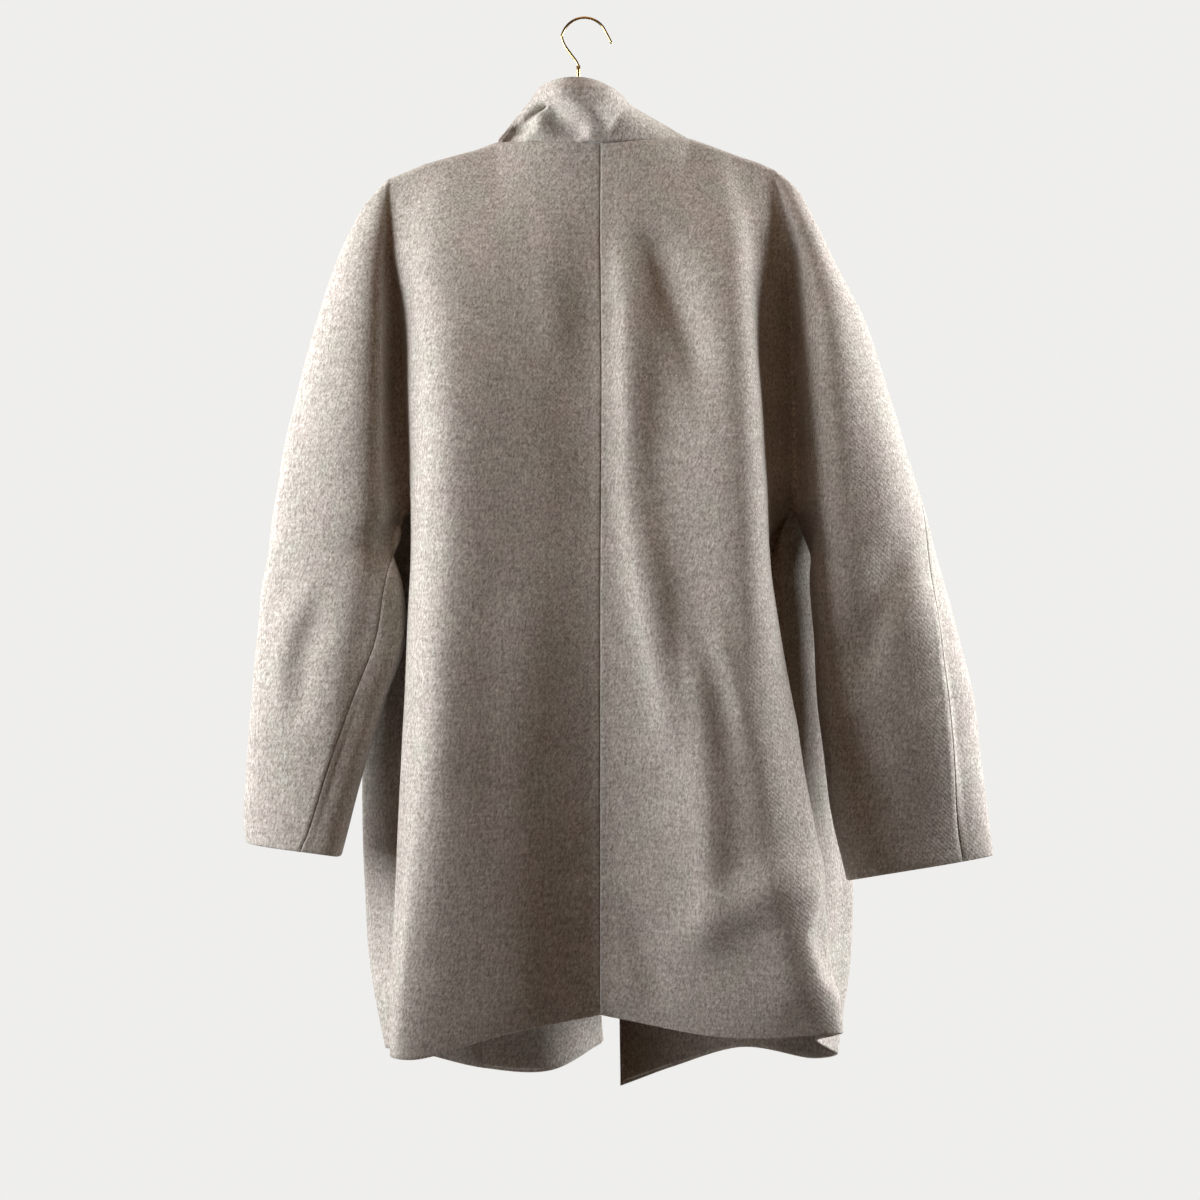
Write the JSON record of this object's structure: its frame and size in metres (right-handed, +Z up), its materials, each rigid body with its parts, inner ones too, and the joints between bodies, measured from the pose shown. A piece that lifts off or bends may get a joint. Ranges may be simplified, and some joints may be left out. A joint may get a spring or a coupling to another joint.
{
  "type": "cocoon coat on a hanger",
  "caption": "Loose cocoon coat of thick wool with kimono sleeves, a soft standing collar and open fronts, hanging on a slim hanger with a wire hook.",
  "frame": {"origin": "the inner crest of the hanger's hook, where a rod holds it", "axes": "+Z up; the coat's back faces -Y and its open front +Y; -X is the wearer's left"},
  "size_m": [0.7358, 0.2195, 1.0765],
  "materials": {
    "wool": "thick melton wool, milled and softly brushed, in a light oatmeal-grey melange",
    "brass_wire": "polished brass-coloured wire",
    "bar_finish": "plain matt off-white"
  },
  "bodies": {
    "root": {"back_left": "wool", "back_right": "wool", "front_left": "wool", "front_right": "wool", "collar_outer": "wool", "collar_inner": "wool", "facing_left": "wool", "facing_right": "wool", "hanger_hook": "brass_wire", "hanger_bar": "bar_finish"}
  },
  "joints": []
}
